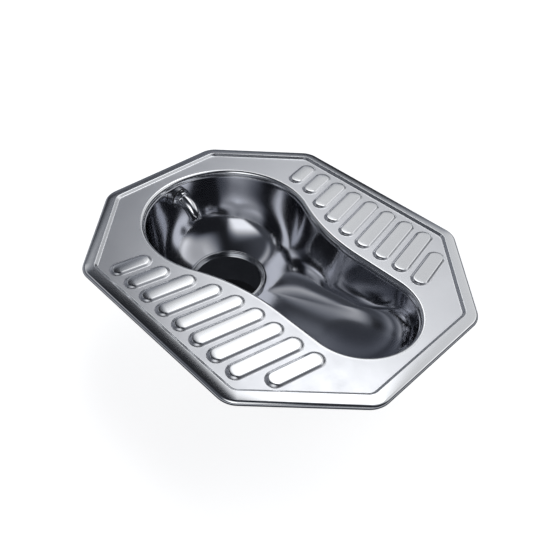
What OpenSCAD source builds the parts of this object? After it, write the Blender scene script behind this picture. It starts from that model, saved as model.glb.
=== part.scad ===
// Squat toilet pan for setting into a floor: a pressed steel deck with foot treads and a raised
// rim, a drawn bowl with a round hopper and a sloping trough, a drain outlet and a flush inlet.
// z = 0 is the finished floor, which the rim rests on. X runs along the pan, with the drain and
// the flush inlet towards -X. Y is the direction in which the pan mirrors. Lengths are in mm.

/* [Pan outline] */
// Overall length of the pan
pan_length = 530; // [520:1:545]
// Overall width of the pan
pan_width = 440; // [434:1:455]
// Length of each corner cut, measured on the outer sides
corner_cut = 121; // [114:1:126]
// Rounding of the eight corners at the rim's crest
crest_round = 16; // [10:1:22]
// Thickness of the deck's and the bowl's sheet
sheet = 1.2; // [0.8:0.1:1.5]

/* [Rim] */
// Width of the rim from its crest line to its outer face
rim_w = 16.5; // [14:0.5:18]
// Height of the rim's crest above the floor
rim_h = 8.5; // [8:0.5:11]
// Fall of the rim's top from the crest line to the outer roll
rim_fall = 0.8; // [0.4:0.1:1.2]
// Radius of the outer roll
rim_roll = 4.5; // [4:0.1:5]
// Depth of the standing panel below the crest
panel_drop = 3.2; // [2.4:0.1:3.6]
// Width of the step between the crest and the standing panel
step_w = 3.5; // [2.5:0.1:4.5]
// Width of the flange that is turned in at the rim's foot
seat_w = 9; // [7:0.5:10]
// Thickness of the sealing strip under the rim
seal_h = 1.5; // [1:0.1:2]
// Width of the sealing strip under the rim
seal_w = 6; // [4:0.5:6.5]

/* [Bowl opening] */
// Distance from the pan's rear end to the hopper's centre, which is also the drain's
hopper_inset = 161; // [155:1:167]
// Radius of the hopper at the opening
hopper_r = 120; // [112:1:124]
// Distance from the pan's front end to the centre of the trough's round end
trough_inset = 113; // [107:1:123]
// Half width of the trough at the opening
trough_r = 76; // [70:1:80]
// Radius of the hollow curve between the hopper and the trough
neck_r = 290; // [240:5:320]
// Radius of the rolled lip round the opening
lip_r = 5; // [4:0.5:6]
// Depth of the lip's lower edge below the standing panel
lip_drop = 8; // [7:0.5:9]

/* [Bowl] */
// Inset of the bowl's wall from the lip
bowl_inset = 1.4; // [0.8:0.1:2]
// Width of the bowl's flange outside the lip's inner face
flange_w = 9; // [8:0.5:11]
// Depth of the drain hole's edge below the floor
drain_depth = 112; // [105:1:120]
// Radius of the bowl's drain hole
drain_r = 60; // [60:0.5:64]
// Length over which the hopper's wall stays steep
hopper_steep = 75; // [68:1:80]
// Depth to which the trough's front wall stays steep
front_steep = 40; // [34:1:44]
// Height of the hopper's floor curve above the drain hole
hopper_floor = 22; // [16:1:28]
// Fall of the trough's floor from its front to the drain hole
trough_fall = 50; // [44:1:58]
// Inward slope of the wall over its steep part
bowl_draught = 5; // [4:0.5:7]
// Share of the hopper's reach at which its wall turns into its floor, as one part in this many
hopper_turn = 2.6; // [2.4:0.1:3.4]
// Share of the trough's reach at which its wall turns into its floor, as one part in this many
trough_turn = 8; // [6:0.5:9]

/* [Outlet] */
// Outer diameter of the outlet spigot
outlet_od = 110; // [108:0.5:112]
// Wall of the outlet spigot
outlet_wall = 1.5; // [1.2:0.1:1.6]
// Free length of the spigot below its flange
outlet_length = 51; // [46:1:70]
// Bore of the collar that lines the drain hole
collar_bore = 104; // [102:0.5:104.5]
// Depth to which the collar reaches into the spigot
collar_skirt = 16; // [12:1:20]
// Thickness of the collar's flange
collar_flange_t = 4; // [3:0.5:5]
// Thickness of the collar's land inside its bead
collar_land_t = 1.2; // [0.8:0.1:2]
// Radius of the bead that stands up round the collar
collar_bead_r = 1.8; // [1.4:0.1:2]
// Bevel at the edge of the collar's bore
collar_bevel = 0.8; // [0.4:0.1:0.8]
// Thickness of the spigot's flange
outlet_flange_t = 1.5; // [1.2:0.1:2]
// Width of the two flanges outside the bowl's drain hole
outlet_flange_w = 7; // [6:0.5:9]

/* [Treads] */
// Number of treads on each side
tread_count = 9; // [7:1:9]
// Distance between treads along X
tread_pitch = 33.1; // [31:0.1:34]
// Place along X at which the first tread's middle line meets the line of the outer ends
tread_start = -112.5; // [-116:0.5:-110]
// Slant of the treads from the Y direction, in degrees
tread_slant = 12; // [8:1:14]
// Width of a tread at its foot
tread_w = 26; // [24:0.5:27]
// Height of a tread above the standing panel
tread_h = 2.8; // [2:0.1:3]
// Width of a tread's sloped flank
tread_flank = 4; // [3:0.1:5]
// Gap between the treads and the opening
tread_gap = 16; // [14:0.5:18]
// Gap between the treads and the crest line along the pan's side
tread_margin = 10; // [8:0.5:12]
// Gap between the front tread and the crest line along the corner's cut
tread_corner = 6.5; // [6:0.5:10]

/* [Flush inlet] */
// Depth of the inlet's axis below the floor
inlet_depth = 22; // [21:0.5:26]
// Outer diameter of the spout and its threaded tail
spout_od = 21; // [20:0.5:22]
// Bore of the spout
spout_bore = 17; // [15:0.5:17.5]
// Step in radius from the threaded tail up to the shank that the locknut runs on
shank_step = 0.5; // [0.4:0.1:1]
// Bend radius of the spout's axis
spout_bend_r = 27; // [22:1:32]
// Bend angle of the spout, in degrees
spout_bend = 72; // [60:1:84]
// Length of the spout between its collar and its bend
spout_neck = 3; // [2:1:8]
// Radius of the boss that is welded into the hopper's wall for the inlet
boss_r = 17; // [16:0.5:17.5]
// Thickness of the boss
boss_t = 9; // [9:0.5:10]
// Distance that the boss's outer face stands behind the opening's edge
boss_back = 0.5; // [0.5:0.1:1]
// Thickness of each rubber washer
gasket_t = 2; // [1:0.1:2.5]
// Radius of the rubber washers and the steel washer
gasket_r = 15.5; // [14.5:0.5:16]
// Thickness of the rosette
rosette_t = 2.4; // [2:0.1:3]
// Thickness of the rosette's edge
rosette_edge = 0.8; // [0.6:0.1:1.4]
// Radius of the rosette
rosette_r = 16; // [15:0.5:16.5]
// Radius of the spout's collar
collar_r = 13; // [12.5:0.5:14]
// Thickness of the spout's collar
collar_t = 3; // [2:0.5:4]
// Thickness of the steel washer
washer_t = 1.5; // [1:0.1:2]
// Thickness of the locknut
locknut_t = 7; // [6:0.5:9]
// Width of the locknut across its flats
locknut_flats = 30; // [29:0.5:32]
// Free length of the threaded tail behind the locknut
tail_free = 20; // [16:0.5:22]

/* [Underside] */
// Distance from the pan's rear end to the rear lug holes
lug_rear = 80; // [78:1:84]
// Distance from the pan's front end to the front lug holes
lug_front = 115; // [110:1:122]
// Distance along Y from the hopper's widest place to the lug holes
lug_out = 22; // [20:1:25]
// Width of a lug
lug_w = 20; // [16:1:22]
// Thickness of a lug
lug_t = 2; // [1.5:0.1:3]
// Length of a lug's pad, and of its foot
lug_pad = 22; // [20:1:24]
// Height of a lug
lug_h = 42; // [30:1:60]
// Diameter of a lug's hole
lug_hole = 9; // [7:0.5:11]
// Distance from the pan's side to the middle of the inner stiffeners
stiffener_inner_side = 78; // [77:1:80]
// Distance from the pan's side to the middle of the outer stiffeners
stiffener_outer_side = 41; // [40:1:44]
// Distance from the pan's rear end to the inner stiffeners
stiffener_inner_rear = 110; // [105:1:120]
// Distance from the pan's front end to the inner stiffeners
stiffener_inner_front = 140; // [138:1:150]
// Distance from the pan's rear end to the outer stiffeners
stiffener_outer_rear = 140; // [130:1:150]
// Distance from the pan's front end to the outer stiffeners
stiffener_outer_front = 130; // [125:1:140]
// Width of a stiffener's ridge
stiffener_w = 18; // [14:1:20]
// Height of a stiffener
stiffener_h = 14; // [10:1:20]
// Width of each of a stiffener's welding flanges
stiffener_flange = 6; // [5:0.5:7]
// Thickness of a stiffener's sheet
stiffener_t = 1.5; // [1.2:0.1:2]

/* [Earth connection] */
// Place of the earth tab along Y
earth_y = 66; // [60:1:72]
// Width of the earth tab
earth_w = 20; // [16:1:22]
// Height of the earth tab
earth_h = 26; // [22:1:34]
// Length of the earth tab's pad
earth_pad = 12; // [9:1:14]
// Thickness of the earth tab
earth_t = 2; // [1.5:0.1:3]
// Gap from the opening's edge to the outer face of the earth tab
earth_gap = 19.5; // [19:0.5:21]
// Diameter of the earth bolt
earth_bolt_d = 6; // [5:1:6]
// Length of the earth bolt under its head
earth_bolt_l = 16; // [14:1:18]
// Height of the earth bolt's head and nut
earth_nut_t = 4.5; // [4:0.5:5]
// Width of the earth bolt's head and nut across their flats
earth_nut_flats = 10; // [8:1:10]
// Thickness of each earth washer
earth_washer_t = 1.2; // [1:0.1:1.6]
// Diameter of each earth washer
earth_washer_d = 12; // [11:0.5:14]

/* [Hidden] */

// Running clearance between parts that slide into each other
fit_gap = 0.15;
// Overlap that joins the pieces of one solid
bite = 1;
// Segments of a true circle, and steps of a roll in a skin's section
round_fn = 96;
roll_steps = 4;
// Height of the standing panel's upper side
panel_z = rim_h - panel_drop;
// Height of the standing panel's underside
panel_under = panel_z - sheet;
// Half length, half width and corner cut at the crest line
crest_x = pan_length / 2 - rim_w;
crest_y = pan_width / 2 - rim_w;
crest_cut = corner_cut - rim_w * (2 - sqrt(2));
// Places of the hopper's centre and of the centre of the trough's round end, along X
hopper_x = hopper_inset - pan_length / 2;
trough_x = pan_length / 2 - trough_inset;

// ---------------------------------------------------------------- the eight-sided outline

// Corner k of the outline with square corners, moved outwards from the crest line by d
function corner(k, d) =
    let (a = crest_x + d, b = crest_y + d, c = crest_cut + d * (2 - sqrt(2)))
    [[a, c - b], [a, b - c], [a - c, b], [c - a, b],
     [-a, b - c], [-a, c - b], [c - a, -b], [a - c, -b]][k % 8];

// Points of the rounded outline, moved outwards from the crest line by d
function outline(d) =
    [for (k = [0:7], s = [0:6])
        corner(k, -crest_round) + (crest_round + d) * dir(45 * (k - 1) + 7.5 * s)];

// Unit vector at angle a
function dir(a) = [cos(a), sin(a)];

// ---------------------------------------------------------------- the keyhole opening

// Centre of the hollow neck curve on the +Y side
neck_x = hopper_x + sqrt((hopper_r - trough_r) * (hopper_r + trough_r + 2 * neck_r));
neck_y = trough_r + neck_r;
// Angle at which the hopper's circle meets the neck curve
neck_angle = atan2(neck_y, neck_x - hopper_x);

// Points on an arc, without its last one
function arc(centre, r, from, to, steps) =
    [for (s = [0:steps - 1]) centre + r * dir(from + (to - from) * s / steps)];

// Points on a straight line, without its last one
function line(from, to, steps) =
    [for (s = [0:steps - 1]) from + (to - from) * s / steps];

// The opening's edge, moved outwards by g
function opening(g) = concat(
    arc([trough_x, 0], trough_r + g, -90, 90, 24),
    line([trough_x, trough_r + g], [neck_x, trough_r + g], 4),
    arc([neck_x, neck_y], neck_r - g, 270, 180 + neck_angle, 8),
    arc([hopper_x, 0], hopper_r + g, neck_angle, 360 - neck_angle, 48),
    arc([neck_x, -neck_y], neck_r - g, 180 - neck_angle, 90, 8),
    line([neck_x, -trough_r - g], [trough_x, -trough_r - g], 4));

// Half width of the opening at x, where the treads end
function half_opening(x) =
    let (meet = hopper_x + hopper_r * cos(neck_angle))
    x < meet ? sqrt(pow(hopper_r, 2) - pow(x - hopper_x, 2))
    : x < neck_x ? neck_y - sqrt(pow(neck_r, 2) - pow(x - neck_x, 2))
    : x < trough_x ? trough_r
    : sqrt(max(0, pow(trough_r, 2) - pow(x - trough_x, 2)));

// A level ring at height z, moved outwards from the opening by g
function flat_ring(g, z) = [for (p = opening(g)) [p.x, p.y, z]];

// ---------------------------------------------------------------- skins

// Closes a list of rings, each with the same number of points, into one skin
module ring_skin(rings) {
    n = len(rings[0]);
    m = len(rings);
    polyhedron(
        points = [for (r = rings, p = r) p],
        faces = [for (j = [0:m - 1], i = [0:n - 1])
            let (next = (i + 1) % n, row = j * n, below = (j + 1) % m * n)
            each [[row + i, below + i, row + next], [row + next, below + i, below + next]]]);
}

// Carries a closed section round the outline. Its x is measured outwards from the crest line.
module outline_run(section) {
    ring_skin([for (q = section) [for (p = outline(q.x)) [p.x, p.y, q.y]]]);
}

// Carries a closed section round the opening. Its x is measured outwards from the opening.
module opening_run(section) {
    ring_skin([for (q = section) flat_ring(q.x, q.y)]);
}

// Points on a roll of a section, with both its ends
function roll(centre, r, from, to) =
    [for (s = [0:roll_steps]) centre + r * dir(from + (to - from) * s / roll_steps)];

// ---------------------------------------------------------------- deck

// The rim's sheet: step, crest, sloped top, outer roll, skirt and the flange turned in at its foot
function rim_section() =
    let (top = rim_h - rim_fall, centre = [rim_w - rim_roll, top - rim_roll])
    concat(
        [[-step_w - 2 * bite, panel_under], [-step_w, panel_under], [0, rim_h - sheet]],
        roll(centre, rim_roll - sheet, 90, 0),
        [[rim_w - sheet, seal_h + sheet], [rim_w - seat_w, seal_h + sheet],
         [rim_w - seat_w, seal_h], [rim_w, seal_h]],
        roll(centre, rim_roll, 0, 90),
        [[0, rim_h], [-step_w, panel_z], [-step_w - 2 * bite, panel_z]]);

// The lip's sheet: rolled down from the standing panel
function lip_section() =
    let (centre = [lip_r, panel_z - lip_r])
    concat(
        [[lip_r + 2 * bite, panel_under], [lip_r + 2 * bite, panel_z]],
        roll(centre, lip_r, 90, 180),
        [[0, panel_z - lip_drop], [sheet, panel_z - lip_drop]],
        roll(centre, lip_r - sheet, 180, 90));

// Line of the outer ends' middles, and the treads' step along X for each step along Y
tread_top = crest_y - tread_margin - tread_w / 2;
tread_lean = tan(tread_slant);

// Place along X at which tread i's middle line meets the line of the outer ends
function tread_start_x(i) = tread_start + i * tread_pitch;

// Middle of tread i's outer end: on the line of the outer ends, or sooner on the tread's own
// middle line where the corner's cut comes near
function tread_outer(i) =
    let (x = tread_start_x(i),
         room = crest_x + crest_y - crest_cut - sqrt(2) * (tread_corner + tread_w / 2),
         y = min(tread_top, (room - x - tread_top * tread_lean) / (1 - tread_lean)))
    [x + (tread_top - y) * tread_lean, y];

// Length of a tread from the middle of its outer end to the middle of its inner end, which is
// first guessed straight across from the outer end and then moved along the slant
function tread_inner_y(x) = half_opening(x) + tread_gap + tread_w / 2;
function tread_run(outer) =
    let (first = outer.y - tread_inner_y(outer.x),
         second = outer.y - tread_inner_y(outer.x + first * tread_lean))
    (outer.y - tread_inner_y(outer.x + second * tread_lean)) / cos(tread_slant);

// One tread's raised form, rising from z = 0, with its outer end at the origin and running to -Y
module tread_form(run) {
    foot = tread_w / 2;
    crown = foot - tread_flank;
    for (end = [0, -run])
        translate([0, end, 0])
            cylinder(h = tread_h, r1 = foot, r2 = crown, $fn = round_fn);
    rotate([90, 0, 0])
        linear_extrude(run)
            polygon([[-foot, 0], [foot, 0], [crown, tread_h], [-crown, tread_h]]);
}

// All treads of the +Y side
module tread_row() {
    for (i = [0:tread_count - 1])
        translate(tread_outer(i))
            rotate(tread_slant)
                tread_form(tread_run(tread_outer(i)));
}

module deck_plate() {
    color("gainsboro") {
        difference() {
            union() {
                translate([0, 0, panel_under])
                    linear_extrude(sheet)
                        difference() {
                            polygon(outline(-step_w - bite));
                            polygon(opening(lip_r + bite));
                        }
                for (side = [0, 1])
                    mirror([0, side, 0])
                        translate([0, 0, panel_z])
                            tread_row();
            }
            for (side = [0, 1])
                mirror([0, side, 0])
                    translate([0, 0, panel_under])
                        tread_row();
        }
        outline_run(rim_section());
        opening_run(lip_section());
    }
}

// The sealing strip is bonded under the rim's turned-in flange
module rim_seal() {
    middle = rim_w - seat_w / 2;
    color("dimgray")
        linear_extrude(seal_h)
            difference() {
                polygon(outline(middle + seal_w / 2));
                polygon(outline(middle - seal_w / 2));
            }
}

// ---------------------------------------------------------------- bowl

// Height of the bowl's flange, against which the lip's lower edge is welded
bowl_z = panel_z - lip_drop;
// Wall lines' steps from the opening to the drain hole
bowl_steps = 14;
// Height of the middle of the bend between the bowl's flange and its wall
bend_z = bowl_z - bowl_inset;
// Shortest and longest distance on plan from the opening to the drain hole
reach_short = hopper_r - drain_r;
reach_long = trough_x + trough_r - hopper_x - drain_r;

// Point at t on a cubic curve through a and d, drawn towards b and c
function curve(a, b, c, d, t) =
    pow(1 - t, 3) * a + 3 * pow(1 - t, 2) * t * b + 3 * (1 - t) * pow(t, 2) * c + pow(t, 3) * d;

// A wall line in its own upright plane: x runs inwards from the opening and y is the height.
// It goes from the bend to the drain hole, steep and round in the hopper and long and low in
// the trough. Out is the sheet's thickness for the outer side, and 0 for the inner side.
function wall_point(reach, t, out) =
    let (share = (reach - reach_short) / (reach_long - reach_short),
         steep = hopper_steep + (front_steep - hopper_steep) * share,
         rise = hopper_floor + (trough_fall - hopper_floor) * share,
         turn = reach / (hopper_turn + (trough_turn - hopper_turn) * share))
    curve([0, bend_z], [bowl_draught, bowl_z - steep - out],
          [turn, rise - drain_depth - out], [reach, -drain_depth - out], t);

// One level of the bowl as a ring of points in space
function wall_ring(t, out) =
    [for (p = opening(out - bowl_inset))
        let (away = p - [hopper_x, 0],
             inward = -away / norm(away),
             w = wall_point(norm(away) - drain_r, t, out))
        [p.x + inward.x * w.x, p.y + inward.y * w.x, w.y]];

// All rings of the bowl's skin, down the inside and up the outside
function bowl_rings() = concat(
    [flat_ring(flange_w, bowl_z)],
    [for (a = [90:30:150]) flat_ring(bowl_inset * cos(a), bend_z + bowl_inset * sin(a))],
    [for (s = [0:bowl_steps]) wall_ring(s / bowl_steps, 0)],
    [for (s = [bowl_steps:-1:0]) wall_ring(s / bowl_steps, sheet)],
    [flat_ring(sheet, bowl_z - sheet), flat_ring(flange_w, bowl_z - sheet)]);

// Height of the inlet's axis, and the outer and inner faces of its boss
inlet_z = -inlet_depth;
boss_out = hopper_x - hopper_r - boss_back;
boss_in = boss_out + boss_t;

// Places a part on the inlet's axis, with its z running into the hopper from the plane x
module at_inlet(x) {
    translate([x, 0, inlet_z])
        rotate([0, 90, 0])
            children();
}

// A flat ring with a true bore
module ring(outer_r, bore_r, height) {
    difference() {
        cylinder(h = height, r = outer_r, $fn = round_fn);
        translate([0, 0, -bite])
            cylinder(h = height + 2 * bite, r = bore_r, $fn = round_fn);
    }
}

// A six-sided nut or bolt head
module hexagon(flats, height) {
    cylinder(h = height, r = flats / sqrt(3), $fn = 6);
}

module bowl() {
    color("slategray")
        difference() {
            ring_skin(bowl_rings());
            at_inlet(boss_out - bite)
                cylinder(h = boss_t + 2 * bite, r = boss_r, $fn = round_fn);
        }
}

// ---------------------------------------------------------------- outlet

// Underside of the bowl's sheet at the drain hole, where the collar's flange is welded
joint_z = -drain_depth - sheet;
// Radii of the spigot's outside and bore, and of the two flanges
spigot_r = outlet_od / 2;
spigot_bore_r = spigot_r - outlet_wall;
outlet_flange_r = drain_r + outlet_flange_w;
// Level of the joint between the two flanges
flange_z = joint_z - collar_flange_t;

// Lines the drain hole: a raised bead, a groove, and a land that leads into the spigot
module outlet_collar() {
    bead_r = collar_bead_r;
    bore_r = collar_bore / 2;
    land_z = flange_z + collar_land_t;
    skirt_z = joint_z - collar_skirt;
    color("silver")
        rotate_extrude($fn = round_fn)
            polygon(concat(
                [[bore_r, skirt_z], [bore_r, land_z - collar_bevel], [bore_r + collar_bevel, land_z],
                 [drain_r - 2 * bead_r, land_z]],
                [for (a = [180:-15:0]) [drain_r - bead_r + bead_r * cos(a), bead_r * sin(a) - drain_depth]],
                [[drain_r, joint_z], [outlet_flange_r, joint_z], [outlet_flange_r, flange_z],
                 [spigot_bore_r - fit_gap, flange_z], [spigot_bore_r - fit_gap, skirt_z]]));
}

// The flanged tube that plugs into the soil pipe's socket
module outlet_spigot() {
    color("lightgray")
        translate([0, 0, flange_z]) {
            translate([0, 0, -outlet_flange_t])
                ring(outlet_flange_r, spigot_bore_r, outlet_flange_t);
            translate([0, 0, -outlet_flange_t - outlet_length])
                ring(spigot_r, spigot_bore_r, outlet_length + outlet_flange_t);
        }
}

// ---------------------------------------------------------------- flush inlet

// Planes along X in the order of assembly, from the spout's collar out to the tail's end
rosette_x = boss_in + gasket_t;
spout_collar_x = rosette_x + rosette_t;
bend_x = spout_collar_x + collar_t + spout_neck;
washer_x = boss_out - gasket_t - washer_t;
locknut_x = washer_x - locknut_t;
tail_x = locknut_x - tail_free;
spout_r = spout_od / 2;
shank_r = spout_r + shank_step;
// Bore of every piece that slides over the shank
shank_hole_r = shank_r + fit_gap;

// Welded into the hopper's wall, and gives the inlet's washers a flat face on each side
module inlet_boss() {
    color("silver")
        at_inlet(boss_out)
            ring(boss_r, shank_hole_r, boss_t);
}

// A rod of radius r along the spout's axis, longer by extra at both of its ends
module spout_rod(r, extra) {
    at_inlet(tail_x - extra)
        cylinder(h = bend_x - tail_x + extra, r = r, $fn = round_fn);
    translate([bend_x, 0, inlet_z - spout_bend_r])
        rotate([90, 0, 0])
            mirror([0, 1, 0])
                rotate(-90)
                    rotate_extrude(angle = spout_bend + extra * 180 / (PI * spout_bend_r), $fn = round_fn)
                        translate([spout_bend_r, 0])
                            circle(r = r, $fn = round_fn);
}

// A bent tube with a collar that clamps the rosette, a shank for the locknut, and a threaded tail
// for the flush pipe
module flush_spout() {
    color("white")
        difference() {
            union() {
                spout_rod(spout_r, 0);
                at_inlet(locknut_x)
                    cylinder(h = spout_collar_x + bite - locknut_x, r = shank_r, $fn = round_fn);
                at_inlet(spout_collar_x)
                    cylinder(h = collar_t, r = collar_r, $fn = round_fn);
            }
            spout_rod(spout_bore / 2, bite);
        }
}

// A thin cone-shaped disc between the spout's collar and the washer
module spout_rosette() {
    color("silver")
        at_inlet(rosette_x)
            rotate_extrude($fn = round_fn)
                polygon([[shank_hole_r, 0], [rosette_r, 0], [rosette_r, rosette_edge],
                         [collar_r, rosette_t], [shank_hole_r, rosette_t]]);
}

module inlet_gasket_inner() {
    color("black")
        at_inlet(boss_in)
            ring(gasket_r, shank_hole_r, gasket_t);
}

module inlet_gasket_outer() {
    color("black")
        at_inlet(boss_out - gasket_t)
            ring(gasket_r, shank_hole_r, gasket_t);
}

module inlet_washer() {
    color("silver")
        at_inlet(washer_x)
            ring(gasket_r, shank_hole_r, washer_t);
}

module inlet_locknut() {
    color("goldenrod")
        at_inlet(locknut_x)
            difference() {
                hexagon(locknut_flats, locknut_t);
                translate([0, 0, -bite])
                    cylinder(h = locknut_t + 2 * bite, r = shank_hole_r, $fn = round_fn);
            }
}

// ---------------------------------------------------------------- underside

// Lugs that the bedding mortar or four bolts hold: a welded pad, a leg and a drilled foot.
// End is -1 at the rear and 1 at the front, and side is 1 on the left and -1 on the right.
module anchor_lug(end, side) {
    hole_x = end < 0 ? lug_rear - pan_length / 2 : pan_length / 2 - lug_front;
    hole_y = hopper_r + lug_out;
    leg_y = hole_y - lug_pad / 2;
    color("darkgray")
        translate([hole_x - lug_w / 2, 0, panel_under])
            mirror([0, side < 0 ? 1 : 0, 0]) {
                translate([0, leg_y - lug_pad, -lug_t])
                    cube([lug_w, lug_pad, lug_t]);
                translate([0, leg_y - lug_t, -lug_h])
                    cube([lug_w, lug_t, lug_h]);
                difference() {
                    translate([0, leg_y - lug_t, -lug_h])
                        cube([lug_w, lug_pad + lug_t, lug_t]);
                    translate([lug_w / 2, hole_y, -lug_h - bite])
                        cylinder(h = lug_t + 2 * bite, r = lug_hole / 2, $fn = round_fn);
                }
            }
}

// A folded channel that is welded under the treads. Side is 1 on the left and -1 on the right,
// inset is its distance from the pan's side, and rear and front those from the pan's ends.
module stiffener(side, inset, rear, front) {
    ridge = stiffener_w / 2;
    base = ridge + stiffener_flange;
    low = -stiffener_h;
    t = stiffener_t;
    color("darkgray")
        translate([rear - pan_length / 2, side * (pan_width / 2 - inset), panel_under])
            rotate([90, 0, 90])
                linear_extrude(pan_length - rear - front)
                    polygon([[-base, 0], [-base, -t], [-ridge, -t], [-ridge, low], [ridge, low],
                             [ridge, -t], [base, -t], [base, 0], [ridge - t, 0],
                             [ridge - t, low + t], [t - ridge, low + t], [t - ridge, 0]]);
}

module stiffener_inner(side) {
    stiffener(side, stiffener_inner_side, stiffener_inner_rear, stiffener_inner_front);
}

module stiffener_outer(side) {
    stiffener(side, stiffener_outer_side, stiffener_outer_rear, stiffener_outer_front);
}

// ---------------------------------------------------------------- earth connection

// Outer face of the earth tab's leg, and the bolt's height in it
earth_x = hopper_x - sqrt(pow(hopper_r, 2) - pow(earth_y, 2)) - earth_gap;
earth_bolt_z = panel_under - earth_h + earth_nut_flats;
earth_hole_r = earth_bolt_d / 2 + fit_gap;

// An angle that is welded under the panel, with a hole for the earth bolt
module earth_tab() {
    color("darkgray")
        difference() {
            translate([earth_x, earth_y - earth_w / 2, panel_under - earth_h])
                union() {
                    cube([earth_t, earth_w, earth_h]);
                    translate([earth_t - earth_pad, 0, earth_h - earth_t])
                        cube([earth_pad, earth_w, earth_t]);
                }
            at_earth_bolt(earth_x - bite)
                cylinder(h = earth_t + 2 * bite, r = earth_hole_r, $fn = round_fn);
        }
}

// Places a part on the earth bolt's axis, with its z running towards the hopper from the plane x
module at_earth_bolt(x) {
    translate([x, earth_y, earth_bolt_z])
        rotate([0, 90, 0])
            children();
}

// The bolt's head lies on the tab's hopper side and its shank points out to the pan's end
module earth_bolt() {
    head_x = earth_x + earth_t + earth_washer_t;
    color("silver") {
        at_earth_bolt(head_x)
            hexagon(earth_nut_flats, earth_nut_t);
        at_earth_bolt(head_x - earth_bolt_l)
            cylinder(h = earth_bolt_l + bite, r = earth_bolt_d / 2, $fn = round_fn);
    }
}

module earth_washers() {
    color("silver")
        for (x = [earth_x + earth_t, earth_x - earth_washer_t])
            at_earth_bolt(x)
                ring(earth_washer_d / 2, earth_hole_r, earth_washer_t);
}

module earth_nut() {
    color("silver")
        at_earth_bolt(earth_x - earth_washer_t - earth_nut_t)
            difference() {
                hexagon(earth_nut_flats, earth_nut_t);
                translate([0, 0, -bite])
                    cylinder(h = earth_nut_t + 2 * bite, r = earth_hole_r, $fn = round_fn);
            }
}

deck_plate();
rim_seal();
bowl();
translate([hopper_x, 0, 0]) outlet_collar();
translate([hopper_x, 0, 0]) outlet_spigot();
inlet_boss();
flush_spout();
spout_rosette();
inlet_gasket_inner();
inlet_gasket_outer();
inlet_washer();
inlet_locknut();
anchor_lug(-1, 1);  // anchor_lug_rear_left
anchor_lug(-1, -1);  // anchor_lug_rear_right
anchor_lug(1, 1);  // anchor_lug_front_left
anchor_lug(1, -1);  // anchor_lug_front_right
stiffener_inner(1);  // stiffener_left_inner
stiffener_outer(1);  // stiffener_left_outer
stiffener_inner(-1);  // stiffener_right_inner
stiffener_outer(-1);  // stiffener_right_outer
earth_tab();
earth_bolt();
earth_washers();
earth_nut();
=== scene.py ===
"""Looks of a pressed steel squat toilet pan. Shapes are worked out in millimetres, in the pan's
frame: z = 0 is the finished floor, X runs along the pan and the pan mirrors across Y = 0."""

import bpy
import numpy as np
from mathutils import Matrix, Vector
from mathutils.geometry import delaunay_2d_cdt


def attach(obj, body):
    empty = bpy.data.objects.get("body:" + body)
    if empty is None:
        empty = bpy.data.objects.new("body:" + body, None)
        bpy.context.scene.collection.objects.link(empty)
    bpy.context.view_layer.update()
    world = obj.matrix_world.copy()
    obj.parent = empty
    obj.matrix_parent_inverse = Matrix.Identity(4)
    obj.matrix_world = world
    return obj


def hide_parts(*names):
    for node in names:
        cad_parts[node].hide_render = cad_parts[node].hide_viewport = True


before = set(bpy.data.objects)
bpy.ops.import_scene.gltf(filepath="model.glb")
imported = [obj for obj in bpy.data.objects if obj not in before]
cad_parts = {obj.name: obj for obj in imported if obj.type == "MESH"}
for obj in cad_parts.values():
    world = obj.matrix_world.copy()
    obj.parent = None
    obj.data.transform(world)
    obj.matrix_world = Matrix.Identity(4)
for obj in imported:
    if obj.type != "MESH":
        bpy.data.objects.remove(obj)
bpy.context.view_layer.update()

# ---------------------------------------------------------------- sizes in mm

MM = 0.001
SHEET = 1.2

# Points in the same cell are welded. The shift keeps the cells' walls off the round numbers, so
# that none of them cuts through a seam.
WELD_CELL, WELD_SHIFT = 0.002, 0.2371

# Rim: the pan's half length, half width and corner cut, then the rim's width, height, fall towards
# its edge, and the radii of the edge and of the skirt's foot. The crest is where the step up from
# the panel ends, and outlines are measured from it.
PAN_X, PAN_Y, PAN_CUT = 265.0, 220.0, 121.0
RIM_W, RIM_H, RIM_FALL, RIM_R, SKIRT_R = 16.5, 8.5, 1.104, 4.5, 1.6
CREST_X, CREST_Y, CREST_ROUND = PAN_X - RIM_W, PAN_Y - RIM_W, 16.0
CREST_CUT = PAN_CUT - RIM_W * (2 - np.sqrt(2))

# Panel: its height and its edge, the step's width and the radii at its foot and top, and the
# seat's width under the rim and the height of the seal that carries it.
PANEL_Z, PANEL_EDGE = 5.3, -5.0
STEP_W, STEP_FOOT_R, STEP_TOP_R = 3.5, 2.2, 2.0
SEAT_W, SEAL_H = 9.0, 1.5

# Steps between the points of the rim, the lip and a tread that lie flat on the panel.
RIM_FLAT, LIP_FLAT, TREAD_FLAT = 0.3, 1.0, 0.2

# Opening: a round hopper and a trough with a round end, joined by necks, and the lip round it.
HOPPER_X, HOPPER_R = -104.0, 120.0
TROUGH_X, TROUGH_R, NECK_R = 152.0, 76.0, 290.0
NECK_X = HOPPER_X + np.sqrt((HOPPER_R - TROUGH_R) * (HOPPER_R + TROUGH_R + 2 * NECK_R))
NECK_Y = TROUGH_R + NECK_R
NECK_TURN = np.arctan2(NECK_Y, NECK_X - HOPPER_X)
LIP_R, LIP_Z, LIP_HEM = 5.0, -2.7, 0.4

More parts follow.
